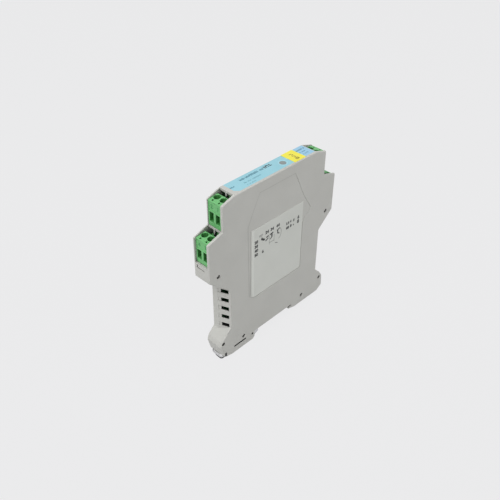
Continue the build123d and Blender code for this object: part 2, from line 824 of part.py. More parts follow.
# Indicator lamp under the light pipe, in its right-angle holder
led_radius = 1.5
led_top = height - light_stem_length - 0.3
with BuildPart() as status_led:
    with BuildSketch(side_plane(board_front)):
        with Locations((window_centre, led_top - led_radius - 2.2)):
            Rectangle(2 * led_radius + 0.4, 3.0)
    extrude(amount=board_front + window_offset + led_radius)
    with BuildSketch(Plane.XY.offset(led_top - led_radius - 0.8)):
        with Locations((window_centre, -window_offset)):
            Rectangle(2 * led_radius, 2 * led_radius)
    extrude(amount=led_radius + 0.8, taper=12)
status_led.part.label = "status_led"
export_step(status_led.part, "parts/status_led.step")
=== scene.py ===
import bmesh
import bpy
import json
import math
import numpy as np
from mathutils import Matrix, Vector

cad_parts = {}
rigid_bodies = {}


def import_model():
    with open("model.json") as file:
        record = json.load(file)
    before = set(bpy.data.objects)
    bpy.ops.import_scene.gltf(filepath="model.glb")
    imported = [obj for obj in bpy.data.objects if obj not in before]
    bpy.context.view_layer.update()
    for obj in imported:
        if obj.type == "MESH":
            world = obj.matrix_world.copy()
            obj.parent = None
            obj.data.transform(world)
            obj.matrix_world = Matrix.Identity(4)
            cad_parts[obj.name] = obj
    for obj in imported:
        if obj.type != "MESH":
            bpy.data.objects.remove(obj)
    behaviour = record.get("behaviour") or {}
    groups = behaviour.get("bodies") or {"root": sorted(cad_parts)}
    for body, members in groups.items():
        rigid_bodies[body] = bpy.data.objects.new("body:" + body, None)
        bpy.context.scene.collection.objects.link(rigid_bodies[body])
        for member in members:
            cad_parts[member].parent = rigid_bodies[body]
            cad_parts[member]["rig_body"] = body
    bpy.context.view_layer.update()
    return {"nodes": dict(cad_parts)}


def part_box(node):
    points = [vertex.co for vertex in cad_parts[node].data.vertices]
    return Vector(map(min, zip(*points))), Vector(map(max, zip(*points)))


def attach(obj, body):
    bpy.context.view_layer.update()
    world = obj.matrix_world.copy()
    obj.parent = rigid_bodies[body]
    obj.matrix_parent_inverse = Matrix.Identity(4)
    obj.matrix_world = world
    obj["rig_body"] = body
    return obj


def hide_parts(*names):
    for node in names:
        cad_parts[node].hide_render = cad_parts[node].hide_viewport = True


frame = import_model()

nodes = frame["nodes"]
mm = 0.001  # lengths below are in millimetres, and meshes are in metres


# Nodes of a material

def newMaterial(name, roughness, metallic=0.0):
    material = bpy.data.materials.new(name)
    material.use_nodes = True
    shader = material.node_tree.nodes["Principled BSDF"]
    shader.inputs["Roughness"].default_value = roughness
    shader.inputs["Metallic"].default_value = metallic
    return material, shader


# A node with its settings; an input that is another node's output is linked, any other is a fixed value
def addNode(owner, kind, inputs=None, **settings):
    node = owner.node_tree.nodes.new(kind)
    for key, value in settings.items():
        setattr(node, key, value)
    for key, value in (inputs or {}).items():
        if isinstance(value, bpy.types.NodeSocket):
            owner.node_tree.links.new(value, node.inputs[key])
        else:
            node.inputs[key].default_value = value
    return node


# One piece of arithmetic on one or two numbers
def arithmetic(owner, operation, first, second=0.0):
    return addNode(owner, "ShaderNodeMath", {0: first, 1: second}, operation=operation).outputs[0]


def product(material, numbers):
    result, *others = numbers
    for number in others:
        result = arithmetic(material, "MULTIPLY", result, number)
    return result


# 1 where a number lies between the limits, else 0; a limit of None is open
def between(material, value, low=None, high=None):
    return product(material, [
        arithmetic(material, test, value, limit)
        for test, limit in (("GREATER_THAN", low), ("LESS_THAN", high)) if limit is not None])


# Share from 0 to 1 of how far a number has gone from start to end
def rising(material, value, start, end):
    inputs = {"Value": value, "From Min": start, "From Max": end}
    return addNode(material, "ShaderNodeMapRange", inputs).outputs["Result"]


def objectPlace(material):
    return addNode(material, "ShaderNodeTexCoord").outputs["Object"]


# Object coordinate along an axis, in mm
def axisDistance(material, axis):
    metres = addNode(material, "ShaderNodeSeparateXYZ", {"Vector": objectPlace(material)}).outputs[axis]
    return arithmetic(material, "MULTIPLY", metres, 1 / mm)


# Screen colour from 0 to 255 as linear light: the low part divided by 12.92, the rest raised to 2.4
def srgb(red, green, blue):
    levels = np.array([red, green, blue]) / 255
    linear = np.where(levels <= 0.04045, levels / 12.92, ((levels + 0.055) / 1.055) ** 2.4)
    return (*linear, 1.0)


# Mix of two colours, which are inputs 6 and 7 of the node
def mixColour(material, share, low, high):
    return addNode(material, "ShaderNodeMix", {0: share, 6: low, 7: high}, data_type="RGBA").outputs[2]


# Grain of a finish: slow blotches between two colours, and fine noise as a bump of some depth, both on
# Object coordinates
plasticGrain = {"blotches": 60.0, "blotchDetail": 3.0, "stops": (0.3, 0.7),
                "fine": 3500.0, "fineDetail": 2.0, "depth": 0.05}
metalGrain = {"blotches": 900.0, "blotchDetail": 3.0, "stops": (0.3, 0.7),
              "fine": 4000.0, "fineDetail": 3.0, "depth": 0.03}


def blotchColour(material, low, high, grain):
    noise = addNode(material, "ShaderNodeTexNoise", {
        "Vector": objectPlace(material), "Scale": grain["blotches"], "Detail": grain["blotchDetail"]})
    ramp = addNode(material, "ShaderNodeValToRGB", {"Fac": noise.outputs["Fac"]})
    for stop, colour in enumerate((low, high)):
        ramp.color_ramp.elements[stop].position = grain["stops"][stop]
        ramp.color_ramp.elements[stop].color = srgb(*colour)
    return ramp.outputs["Color"]


def addBump(material, shader, grain, strength):
    noise = addNode(material, "ShaderNodeTexNoise", {
        "Vector": objectPlace(material), "Scale": grain["fine"], "Detail": grain["fineDetail"]})
    bump = addNode(material, "ShaderNodeBump", {
        "Height": noise.outputs["Fac"], "Strength": strength, "Distance": grain["depth"] * mm})
    material.node_tree.links.new(bump.outputs["Normal"], shader.inputs["Normal"])


# Base colour that changes from low to high between two places along an axis; None is the colour so far
def changeAlong(material, axis, start, end, low=None, high=None):
    socket = material.node_tree.nodes["Principled BSDF"].inputs["Base Color"]
    soFar = socket.links[0].from_socket
    share = rising(material, axisDistance(material, axis), start, end)
    mixed = mixColour(material, share, srgb(*low) if low else soFar, srgb(*high) if high else soFar)
    material.node_tree.links.new(mixed, socket)


# Open share of a point, from the free part of the half space over it: 1 from the limit up, and 0 below the
# closed part of the limit, as in narrow slots and deep corners. Where it is low, base colours are mixed
# toward a dark colour as painted shade.

openness = {"samples": 8, "closedPart": 0.78}


def openShare(material, reach, limit):
    around = addNode(
        material, "ShaderNodeAmbientOcclusion", {"Distance": reach * mm}, samples=openness["samples"])
    return rising(material, around.outputs["AO"], limit * openness["closedPart"], limit)


# Open share of the housing, with painted shade: its dark places are painted shade, and its light places are
# held free of it
#   vents: slots of the left bevel, painted dark as shade when further in than depth behind both the bevel's
#       face, which is at x = -(edge + slope * (y + halfWidth)), and the waist's, between foot and head,
#       left of back, and within reach of the middle
#   boxes: painted dark as shade between two values of x, two of z and two distances from the near outer
#       face, for the slit, the gauge hole and a notch at the foot
#   panel: grooves of the label panel, up to depth from the outer faces and above foot, which get no painted
#       shade
#   latch: slits of both ends, beyond end, whose painted shade never leaves them less open than share
housingShade = {
    "halfWidth": 6.3,
    "vents": {"edge": 39.0, "slope": 0.456, "waist": 42.6, "depth": 0.4, "reach": 5.55,
              "foot": 17.0, "head": 52.0, "back": -30.0},
    "boxes": {
        "slit": ((-36.85, -26.35), (-1.15, 0.15), (-0.1, 1.3)),
        "gaugeHole": ((-21.1, -19.5), (-1.4, 0.2), (-0.1, 1.3)),
        "footNotch": ((-45.1, -43.4), (-4.4, -0.9), (-0.1, 0.8)),
    },
    "panel": {"foot": 25.0, "fade": 1.0, "depth": 0.58},
    "latch": {"end": 50.0, "foot": 69.3, "head": 71.9, "share": 0.5},
}


def housingOpenness(material, reach, limit):
    vents, panel, latch = (housingShade[place] for place in ("vents", "panel", "latch"))
    x, y, z = (axisDistance(material, axis) for axis in "XYZ")
    fromMiddle = arithmetic(material, "ABSOLUTE", y)
    fromNear = arithmetic(material, "ADD", y, housingShade["halfWidth"])

    slope = arithmetic(material, "MULTIPLY", fromNear, vents["slope"])
    bevel = arithmetic(material, "ADD", slope, vents["edge"])
    behindBevel = arithmetic(material, "ADD", x, bevel)
    behindWaist = arithmetic(material, "ADD", x, vents["waist"])
    paintedShadeMask = product(material, [
        between(material, arithmetic(material, "MINIMUM", behindBevel, behindWaist), low=vents["depth"]),
        between(material, fromMiddle, high=vents["reach"]),
        between(material, z, vents["foot"], vents["head"]),
        between(material, x, high=vents["back"]),
    ])
    for fromTo in housingShade["boxes"].values():
        inside = [between(material, value, *limits) for value, limits in zip((x, z, fromNear), fromTo)]
        paintedShadeMask = arithmetic(material, "MAXIMUM", paintedShadeMask, product(material, inside))

    onPanel = product(material, [
        rising(material, z, panel["foot"] - panel["fade"], panel["foot"]),
        between(material, fromMiddle, low=housingShade["halfWidth"] - panel["depth"]),
    ])
    inLatch = product(material, [
        between(material, arithmetic(material, "ABSOLUTE", x), low=latch["end"]),
        between(material, z, latch["foot"], latch["head"]),
        latch["share"],
    ])
    # Places held free of painted shade, fully on the panel and in part in the latch slits
    light = arithmetic(material, "MAXIMUM", onPanel, inLatch)
    free = arithmetic(material, "MAXIMUM", openShare(material, reach, limit), light)
    return arithmetic(material, "SUBTRACT", free, arithmetic(material, "MULTIPLY", free, paintedShadeMask))


# Finishes: two screen colours to wander between, roughness, strength of the grain and, for the painted
# shade of slots and corners, its colour and how open a point has to be to lose it

plastics = {
    "greyPlastic": {
        "low": (176, 176, 171), "high": (180, 180, 175), "roughness": 0.55, "grain": 0.14,
        "paintedShade": {"colour": (24, 25, 24), "reach": 10.0, "limit": 0.4, "share": housingOpenness}},
    "greenPlastic": {
        "low": (97, 167, 102), "high": (104, 174, 109), "roughness": 0.42, "grain": 0.15,
        "paintedShade": {"colour": (52, 118, 54), "reach": 5.0, "limit": 0.6, "share": openShare}},
    "blueFilm": {"low": (136, 186, 198), "high": (143, 191, 203), "roughness": 0.45, "grain": 0.05},
    "silverFilm": {"low": (191, 193, 187), "high": (195, 197, 191), "roughness": 0.5, "grain": 0.05},
    "yellowFilm": {"low": (221, 212, 66), "high": (229, 219, 76), "roughness": 0.5, "grain": 0.05},
    "windowGrey": {"low": (120, 130, 130), "high": (126, 135, 134), "roughness": 0.25, "grain": 0.02},
    "boardGreen": {"low": (30, 92, 52), "high": (38, 104, 60), "roughness": 0.35, "grain": 0.1},
    "chipBlack": {"low": (36, 36, 38), "high": (44, 44, 46), "roughness": 0.5, "grain": 0.2},
    "chipWhite": {"low": (226, 226, 220), "high": (232, 232, 227), "roughness": 0.5, "grain": 0.15},
    "amberResin": {"low": (206, 160, 60), "high": (216, 170, 70), "roughness": 0.4, "grain": 0.1},
    "lampGreen": {"low": (92, 180, 104), "high": (102, 190, 114), "roughness": 0.2, "grain": 0.02},
    # grey of the painted shade line along the label panel's edges
    "paintedShadeGrey": {"low": (158, 158, 153), "high": (162, 162, 157), "roughness": 0.55, "grain": 0.1},
    "paleBlue": {"low": (152, 197, 208), "high": (158, 202, 213), "roughness": 0.45, "grain": 0.05},
    "darkInk": {"low": (44, 46, 46), "high": (54, 56, 56), "roughness": 0.6, "grain": 0.05},
    "paleInk": {"low": (112, 114, 113), "high": (122, 124, 123), "roughness": 0.6, "grain": 0.05},
    "blueInk": {"low": (66, 112, 128), "high": (76, 122, 138), "roughness": 0.5, "grain": 0.05},
    "yellowInk": {"low": (138, 126, 44), "high": (150, 138, 52), "roughness": 0.5, "grain": 0.05},
    # darker green of the raised pole numbers, as painted shade of moulded numbers
    "paintedShadeGreen": {"low": (58, 134, 76), "high": (66, 142, 84), "roughness": 0.45, "grain": 0.1},
}
metals = {
    "zincMetal": {"low": (196, 196, 198), "high": (214, 214, 215), "roughness": 0.42, "grain": 0.15},
    "tinnedBrass": {"low": (206, 196, 170), "high": (220, 212, 190), "roughness": 0.3, "grain": 0.15},
    # zinc colour of the catch tongue, dark at its bottom as painted shade
    "catchWithPaintedShade": {"low": (200, 200, 201), "high": (212, 212, 212), "roughness": 0.5, "grain": 0.15},
}


def plasticMaterial(name, low, high, roughness, grain, paintedShade=None):
    material, shader = newMaterial(name, roughness)
    colour = blotchColour(material, low, high, plasticGrain)
    # Painted shade: the base colour goes toward the dark colour where the point is little open
    if paintedShade:
        share = paintedShade["share"](material, paintedShade["reach"], paintedShade["limit"])
        colour = mixColour(material, share, srgb(*paintedShade["colour"]), colour)
    material.node_tree.links.new(colour, shader.inputs["Base Color"])
    addBump(material, shader, plasticGrain, grain)
    return material


def metalMaterial(name, low, high, roughness, grain):
    material, shader = newMaterial(name, roughness, metallic=1.0)
    colour = blotchColour(material, low, high, metalGrain)
    material.node_tree.links.new(colour, shader.inputs["Base Color"])
    addBump(material, shader, metalGrain, grain)
    return material


finishes = {name: plasticMaterial(name, **look) for name, look in plastics.items()}
finishes |= {name: metalMaterial(name, **look) for name, look in metals.items()}

# Finish by the start of a node's name: the first that fits, or else the black of the other board parts
nodeFinishes = {
    "housing_shell": "greyPlastic",
    "side_cover": "greyPlastic",
    "front_label": "blueFilm",
    "side_label": "silverFilm",
    "marker_tag": "yellowFilm",
    "light_pipe": "windowGrey",
    "circuit_board": "boardGreen",
    "foot_catch": "zincMetal",
    "optocoupler": "chipWhite",
    "storage_capacitors": "amberResin",
    "quartz_crystal": "zincMetal",
    "status_led": "lampGreen",
    "plug_contacts": "tinnedBrass",
    "header_pins": "tinnedBrass",
    "plug": "greenPlastic",
    "header": "greenPlastic",
    "screw": "zincMetal",
    "cage": "zincMetal",
}
for name, node in nodes.items():
    finish = next((finish for start, finish in nodeFinishes.items() if name.startswith(start)), "chipBlack")
    node.data.materials.clear()
    node.data.materials.append(finishes[finish])
print("materials on", len(nodes), "nodes")


pieceWeld = 0.0005  # corners of a new piece that are nearer than this are merged


# A finished piece from its corners and faces, on a body of the frame
def newPiece(name, corners, faces, finish, body):
    mesh = bpy.data.meshes.new(name)
    mesh.from_pydata((corners * mm).tolist(), [], faces)
    mesh.materials.append(finishes[finish])
    shape = bmesh.new()
    shape.from_mesh(mesh)
    bmesh.ops.remove_doubles(shape, verts=shape.verts, dist=pieceWeld * mm)
    bmesh.ops.recalc_face_normals(shape, faces=shape.faces)
    shape.to_mesh(mesh)
    shape.free()
    piece = bpy.data.objects.new(name, mesh)
    bpy.context.collection.objects.link(piece)
    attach(piece, body)
    return piece


# Moulded pieces with rounded edges: a merged copy of the node's mesh, its flat triangles joined in pairs of
# any outline, and every edge that turns by more than the sharp angle rounded to the radius

softEdges = {
    "radius": {
        "plug_upper_left": 0.14,
        "plug_lower_left": 0.14,
        "plug_upper_right": 0.14,
        "plug_lower_right": 0.14,
        "foot_catch": 0.12,
    },
    "weld": 0.001,
    "flat": math.radians(1),
    "outline": math.radians(180),
    "sharp": math.radians(38),
    "segments": 2,
}


def softCopy(nodeName, radius):
    node = nodes[nodeName]
    mesh = node.data.copy()
    shape = bmesh.new()
    shape.from_mesh(mesh)
    bmesh.ops.remove_doubles(shape, verts=shape.verts, dist=softEdges["weld"] * mm)
    bmesh.ops.join_triangles(shape, faces=shape.faces[:], angle_face_threshold=softEdges["flat"],
                             angle_shape_threshold=softEdges["outline"])
    for face in shape.faces:
        face.smooth = True
    shape.to_mesh(mesh)
    shape.free()
    piece = bpy.data.objects.new(nodeName + "Soft", mesh)
    bpy.context.collection.objects.link(piece)
    rounding = piece.modifiers.new("rounding", "BEVEL")
    rounding.width = radius * mm
    rounding.segments = softEdges["segments"]
    rounding.limit_method = "ANGLE"
    rounding.angle_limit = softEdges["sharp"]
    rounding.use_clamp_overlap = False
    rounding.harden_normals = False
    piece.modifiers.new("evenShading", "WEIGHTED_NORMAL").keep_sharp = True
    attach(piece, node["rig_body"])
    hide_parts(nodeName)


for nodeName, radius in softEdges["radius"].items():
    softCopy(nodeName, radius)
print("soft copies", len(softEdges["radius"]))


# Quads between rings of count points each: points i and i + 1 of the low ring of a pair, then points i + 1
# and i of the high one, where point i of ring r is number i + r * count
def ringWalls(count, pairs):
    here = np.arange(count)
    beyond = (here + 1) % count
    quads = np.stack([here, beyond, beyond, here], axis=1)
    walls = [quads + count * np.array([low, low, high, high]) for low, high in pairs]
    return np.concatenate(walls).tolist()


# Rings one after another, joined by quads and closed with a face at each end
def stackedRings(rings):
    count, last = len(rings[0]), len(rings) - 1
    walls = ringWalls(count, [(level, level + 1) for level in range(last)])
    ends = [np.arange(count)[::-1].tolist(), (np.arange(count) + last * count).tolist()]
    return np.concatenate(rings), walls + ends


# Print and raised marks: a surface is a point on it, its directions across and along, and the way out of it

def surfaceFrame(origin, across, along):
    across, along = np.array(across, float), np.array(along, float)
    out = np.cross(across, along)
    return {"origin": np.array(origin, float), "across": across, "along": along, "out": out}


# Bars (middle across, middle along, length, width, turn in degrees): the four corners are the middle plus
# and minus half the length along the turned direction and half the width square to it; the upper four are
# one thickness further out
def barCorners(bars, thickness):
    bars = np.array(bars, float)
    turn = np.radians(bars[:, 4])
    ahead = np.stack([np.cos(turn), np.sin(turn)], axis=1) * bars[:, 2:3] / 2
    square = np.stack([-np.sin(turn), np.cos(turn)], axis=1) * bars[:, 3:4] / 2
    signs = np.array([(-1, -1), (1, -1), (1, 1), (-1, 1)])
    flat = bars[:, None, :2] + signs[None, :, :1] * ahead[:, None] + signs[None, :, 1:] * square[:, None]
    low = np.concatenate([flat, np.zeros((*flat.shape[:2], 1))], axis=2)
    high = low + (0, 0, thickness)
    corners = np.concatenate([low, high], axis=1).reshape(-1, 3)
    box = np.array([(3, 2, 1, 0), (4, 5, 6, 7), (0, 1, 5, 4), (1, 2, 6, 5), (2, 3, 7, 6), (3, 0, 4, 7)])
    faces = (box[None] + 8 * np.arange(len(bars))[:, None, None]).reshape(-1, 4)
    return corners, faces.tolist()


# Numerals (text, middle across, middle along, height): outline text, fattened by the boldness, made a mesh
# and moved to its middle. A figure's height is the figure share of the font's size.

lettering = {"figureShare": 0.7, "curveSteps": 3}


def numeralCorners(numerals, thickness, boldness=0.0):
    corners, faces, used = [], [], 0
    for words, across, along, height in numerals:
        text = bpy.data.curves.new("numeral", "FONT")
        text.body = words
        text.size = height / lettering["figureShare"]
        text.extrude = thickness / 2
        text.offset = boldness
        text.resolution_u = lettering["curveSteps"]
        holder = bpy.data.objects.new("numeral", text)
        mesh = bpy.data.meshes.new_from_object(holder)
        places = np.empty(len(mesh.vertices) * 3)
        mesh.vertices.foreach_get("co", places)
        places = places.reshape(-1, 3)
        middle = (places.min(axis=0) + places.max(axis=0)) / 2
        corners.append(places - middle + (across, along, thickness / 2))
        faces += [[used + corner for corner in face.vertices] for face in mesh.polygons]
        used += len(places)
        bpy.data.objects.remove(holder)
        bpy.data.curves.remove(text)
        bpy.data.meshes.remove(mesh)
    return np.concatenate(corners), faces


# A point of the print is the surface's origin plus its distances across, along and out
def printPiece(name, surface, made, finish, body):
    corners, faces = made
    place = surface["origin"] + corners[:, :1] * surface["across"] + corners[:, 1:2] * surface["along"]
    newPiece(name, place + corners[:, 2:] * surface["out"], faces, finish, body)


# Film of the side label: an outline with its lower left corner cut off, whose face is drawn in by the draw
# over the last half draw of its height. A lighter band runs up its left edge.

sideFilm = {
    "left": -21.2, "right": 24.7, "bottom": 30.3, "top": 82.1, "cutX": 2.6, "cutZ": 1.6, "draw": 0.12,
    "band": 2.1, "bandFade": 0.4, "bandColour": (201, 203, 197),
}
sideLow, sideHigh = (np.array(corner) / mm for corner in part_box("side_label"))
outer = np.array([
    (sideFilm["left"] + sideFilm["cutX"], sideFilm["bottom"]),
    (sideFilm["right"], sideFilm["bottom"]),
    (sideFilm["right"], sideFilm["top"]),
    (sideFilm["left"], sideFilm["top"]),
    (sideFilm["left"], sideFilm["bottom"] + sideFilm["cutZ"]),
])
middle = (outer.min(axis=0) + outer.max(axis=0)) / 2
inner = outer - np.sign(outer - middle) * sideFilm["draw"]
shoulder = sideLow[1] + sideFilm["draw"] / 2
filmRings = ((outer, sideHigh[1]), (outer, shoulder), (inner, sideLow[1]))
filmCorners, filmFaces = stackedRings([np.insert(outline, 1, y, axis=1) for outline, y in filmRings])
film = newPiece("sideFilm", filmCorners, filmFaces, "silverFilm", "housing")
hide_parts("side_label")
bandEdge = sideFilm["left"] + sideFilm["band"]
bandEnd = bandEdge + sideFilm["bandFade"]
changeAlong(finishes["silverFilm"], "X", bandEdge, bandEnd, low=sideFilm["bandColour"])

# Painted shade line inside the upper left edges of the label panel, a grey strip that stands for the shade
# of the panel's
# edge: from point to point, each run a bar as long as the run and set in from it

panelEdge = {
    "points": [(-23.5, 33.4), (-24.4, 86.1), (-20.0, 95.5), (-14.6, 106.05), (15.8, 106.05)],
    "depth": 0.25, "inset": 0.5, "width": 0.36, "ink": 0.02,
}
edgePoints = np.array(panelEdge["points"])
runs = np.diff(edgePoints, axis=0)
lengths = np.hypot(runs[:, 0], runs[:, 1])
inward = np.stack([runs[:, 1], -runs[:, 0]], axis=1) / lengths[:, None]
centres = (edgePoints[:-1] + edgePoints[1:]) / 2 + inward * panelEdge["inset"]
turns = np.degrees(np.arctan2(runs[:, 1], runs[:, 0]))
edgeBars = np.column_stack([centres, lengths, np.full(len(runs), panelEdge["width"]), turns])
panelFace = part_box("side_cover")[0][1] / mm + panelEdge["depth"]
panelFloor = surfaceFrame((0, panelFace, 0), (1, 0, 0), (0, 0, 1))
edgeCorners = barCorners(edgeBars, panelEdge["ink"])
printPiece("paintedPanelShade", panelFloor, edgeCorners, "paintedShadeGrey", "housing")

# Side label: numbers in a column and in rows, with a small circuit sketch of plain strokes between them.
# The sketch's right bracket is short chords along an arc, each at the angle of the arc's tangent.

sideLabel = {
    "ink": 0.03,
    "boldness": 0.16,
    "numerals": [
        ("20", -17.1, 72.3, 2.0), ("30", -17.1, 69.2, 2.0), ("40", -17.1, 66.1, 2.0),
        ("50", -17.1, 62.9, 2.0), ("24", -7.9, 75.3, 2.0), ("34", -3.4, 75.3, 2.0), ("44", 1.7, 75.3, 2.0),
        ("2", 9.8, 72.5, 1.6), ("3", 11.4, 72.5, 1.6), ("4", 13.3, 72.6, 1.5), ("5", 16.3, 72.2, 1.6),
        ("68", 10.6, 69.2, 1.8), ("8", 13.6, 69.2, 1.8), ("6", 20.6, 72.4, 2.3), ("8", 20.4, 69.2, 2.4),
        ("6", -11.4, 62.6, 2.0),
    ],
    "strokes": [
        (-11.3, 71.5, 3.4, 1.4, -35), (-12.6, 72.8, 1.6, 0.6, 60), (-7.5, 71.7, 2.2, 0.9, 10),
        (-8.0, 69.8, 2.6, 0.8, 25), (-3.9, 72.2, 3.0, 0.9, 10), (-3.6, 70.6, 2.6, 1.0, 90),
        (-4.4, 69.0, 1.8, 0.7, 40), (2.0, 72.3, 2.4, 0.8, 20), (1.6, 70.6, 2.4, 0.8, 90),
        (2.3, 69.4, 1.8, 0.7, -30), (16.1, 68.8, 0.9, 0.9, 45),
    ],
    "lines": [
        (-13.2, 75.6, 3.2, 0.5, 0), (-13.2, 74.7, 2.6, 0.4, 0), (-3.8, 66.2, 4.4, 0.3, 0),
        (0.6, 63.0, 2.6, 0.5, -25), (-5.8, 68.0, 6.0, 0.25, 90), (-1.6, 67.9, 5.6, 0.25, 90),
    ],
    "arc": {"middle": (1.6, 69.4), "across": 3.2, "along": 4.2, "first": -70, "last": 60,
            "chords": 14, "length": 0.75, "width": 0.3},
}
side = surfaceFrame((0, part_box("side_label")[0][1] / mm, 0), (1, 0, 0), (0, 0, 1))
arc = sideLabel["arc"]
angles = np.radians(np.linspace(arc["first"], arc["last"], arc["chords"]))
arcBars = np.stack([
    arc["middle"][0] + arc["across"] * np.cos(angles),
    arc["middle"][1] + arc["along"] * np.sin(angles),
    np.full(arc["chords"], arc["length"]),
    np.full(arc["chords"], arc["width"]),
    np.degrees(np.arctan2(arc["along"] * np.cos(angles), -arc["across"] * np.sin(angles))),
], axis=1)
sideFigures = numeralCorners(sideLabel["numerals"], sideLabel["ink"], sideLabel["boldness"])
sidePrints = {
    "sideNumerals": (sideFigures, "darkInk"),
    "sideStrokes": (barCorners(sideLabel["strokes"], sideLabel["ink"]), "darkInk"),
    "sideLines": (barCorners(sideLabel["lines"], sideLabel["ink"]), "paleInk"),
    "sideArc": (barCorners(arcBars, sideLabel["ink"]), "paleInk"),
}
for name, (made, finish) in sidePrints.items():
    printPiece(name, side, made, finish, "housing")

# Front label: rows of fine upright strokes that stand for print, with gaps between words, and a few bold
# ones. Beyond the tag its film is a little more violet.

frontLabel = {
    "ink": 0.02,
    "seed": 7,
    "gaps": 0.16,  # share of the strokes left out
    "shortest": 0.6,  # share of the row's height
    "leans": (0, 0, 0, -18, 18),  # degrees, picked at random
    "rows": [  # first and last across, middle along, height, pitch, stroke width
        (-21.5, -2.6, 3.0, 2.0, 0.64, 0.44),
        (-21.5, -8.0, -0.9, 1.2, 0.7, 0.26),
        (-21.5, -15.0, -3.4, 1.0, 0.7, 0.22),
        (-31.0, -28.0, 0.5, 1.5, 0.66, 0.4),
        (25.9, 32.6, 2.8, 1.5, 0.66, 0.4),
        (25.9, 31.0, 0.2, 1.3, 0.66, 0.34),
        (26.6, 30.6, -2.4, 1.2, 0.66, 0.3),
    ],
    "bold": [
        (-1.5, 3.1, 2.4, 0.75, 90), (-0.2, 3.1, 2.4, 0.75, 76), (1.3, 3.1, 2.4, 0.75, 100),
        (2.8, 3.1, 2.4, 0.75, 90), (0.6, 4.0, 1.5, 0.5, 0), (3.3, 2.2, 1.3, 0.5, 0),
    ],
    "violet": (142, 185, 210),
    "violetFromTo": (24.0, 27.0),
}
front = surfaceFrame((0, 0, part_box("front_label")[1][2] / mm), (1, 0, 0), (0, 1, 0))
chance = np.random.default_rng(frontLabel["seed"])


# One row: strokes every pitch from first to last, without those that fall in a gap, of uneven height and
# lean, with their feet about on one line
def printRow(first, last, along, height, pitch, width):
    across = np.arange(first, last, pitch)
    across = across[chance.random(len(across)) > frontLabel["gaps"]]
    tallness = height * chance.uniform(frontLabel["shortest"], 1.0, len(across))
    lean = 90 + chance.choice(frontLabel["leans"], len(across))
    middles = along + (tallness - height) / 2
    return np.stack([across, middles, tallness, np.full(len(across), width), lean], axis=1)


frontRows = np.concatenate([printRow(*row) for row in frontLabel["rows"]])
frontCorners = barCorners(frontRows, frontLabel["ink"])
printPiece("frontPrint", front, frontCorners, "blueInk", "housing")
boldCorners = barCorners(frontLabel["bold"], frontLabel["ink"])
printPiece("frontBold", front, boldCorners, "darkInk", "housing")
changeAlong(finishes["blueFilm"], "X", *frontLabel["violetFromTo"], high=frontLabel["violet"])

# Pale ring of print round the status window: two circles on the label and two above them, joined all round

windowRing = {"middle": (10.1, -0.8), "inside": 2.2, "outside": 2.9, "points": 40, "ink": 0.02}
angles = np.linspace(0, 2 * np.pi, windowRing["points"], endpoint=False)
circle = np.stack([np.cos(angles), np.sin(angles)], axis=1)
ringEdges = (("inside", 0), ("outside", 0), ("outside", windowRing["ink"]), ("inside", windowRing["ink"]))
ringLayers = [np.insert(circle * windowRing[edge] + windowRing["middle"], 2, height, axis=1)
              for edge, height in ringEdges]
ringFaces = ringWalls(windowRing["points"], [(0, 1), (1, 2), (2, 3), (3, 0)])
ringCorners = np.concatenate(ringLayers)
printPiece("windowRing", front, (ringCorners, ringFaces), "paleBlue", "housing")

# Marker tag: a few short strokes

markerTag = {
    "ink": 0.02,
    "strokes": [
        (20.2, 2.6, 2.0, 0.7, 0), (20.8, 1.4, 1.8, 0.65, 14), (20.3, 0.1, 2.0, 0.7, -14),
        (20.5, -1.2, 1.8, 0.7, 0), (20.2, -2.5, 2.4, 0.8, 8), (20.0, -3.7, 2.6, 0.8, -6),
        (21.2, -3.1, 0.7, 1.5, 0),
    ],
}
tag = surfaceFrame((0, 0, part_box("marker_tag")[1][2] / mm), (1, 0, 0), (0, 1, 0))
tagCorners = barCorners(markerTag["strokes"], markerTag["ink"])
printPiece("tagPrint", tag, tagCorners, "yellowInk", "housing")

# Raised pole numbers in the recessed band of each plug, darker green as painted shade of moulded numbers:
# the side of the part that it faces, then its number on the near side and its number on the far side

plugMarks = {
    "height": 2.5, "band": 12.8, "recess": 0.35, "rise": 0.15, "pole": 2.5,
    "numbers": {
        "upper_left": (-1, "1", "2"),
        "lower_left": (-1, "3", "4"),
        "upper_right": (1, "6", "5"),
        "lower_right": (1, "8", "7"),
    },
}
for bay, (sign, nearNumber, farNumber) in plugMarks["numbers"].items():
    low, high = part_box("plug_" + bay)
    faceX = (low[0] if sign < 0 else high[0]) / mm - sign * plugMarks["recess"]
    band = surfaceFrame((faceX, 0, low[2] / mm + plugMarks["band"]), (0, sign, 0), (0, 0, 1))
    marks = [(nearNumber, -sign * plugMarks["pole"], 0, plugMarks["height"]),
             (farNumber, sign * plugMarks["pole"], 0, plugMarks["height"])]
    raised = numeralCorners(marks, plugMarks["rise"])
    printPiece("plugMarks_" + bay, band, raised, "paintedShadeGreen", "plug_" + bay)
print("prints and marks ready")

# End of the foot catch: its tongue thickened downwards, dark along the bottom as painted shade of its
# underside. A ring is a plan at its height, with its own far edge and inset.

catchEnd = {
    "left": -47.15, "right": -43.4, "near": -4.9, "nearCorner": 1.4, "farCorner": 1.6, "steps": 9,
    "rings": [  # height, far edge, inset
        (-5.85, 0.9, 0.25), (-5.65, 1.1, 0.0), (-4.3, 3.2, 0.0), (-2.8, 3.6, 0.0), (-2.6, 3.6, 0.15)],
    "paintedShadeTop": -4.6, "paintedShadeFade": 0.1, "paintedShadeColour": (34, 34, 38),
}


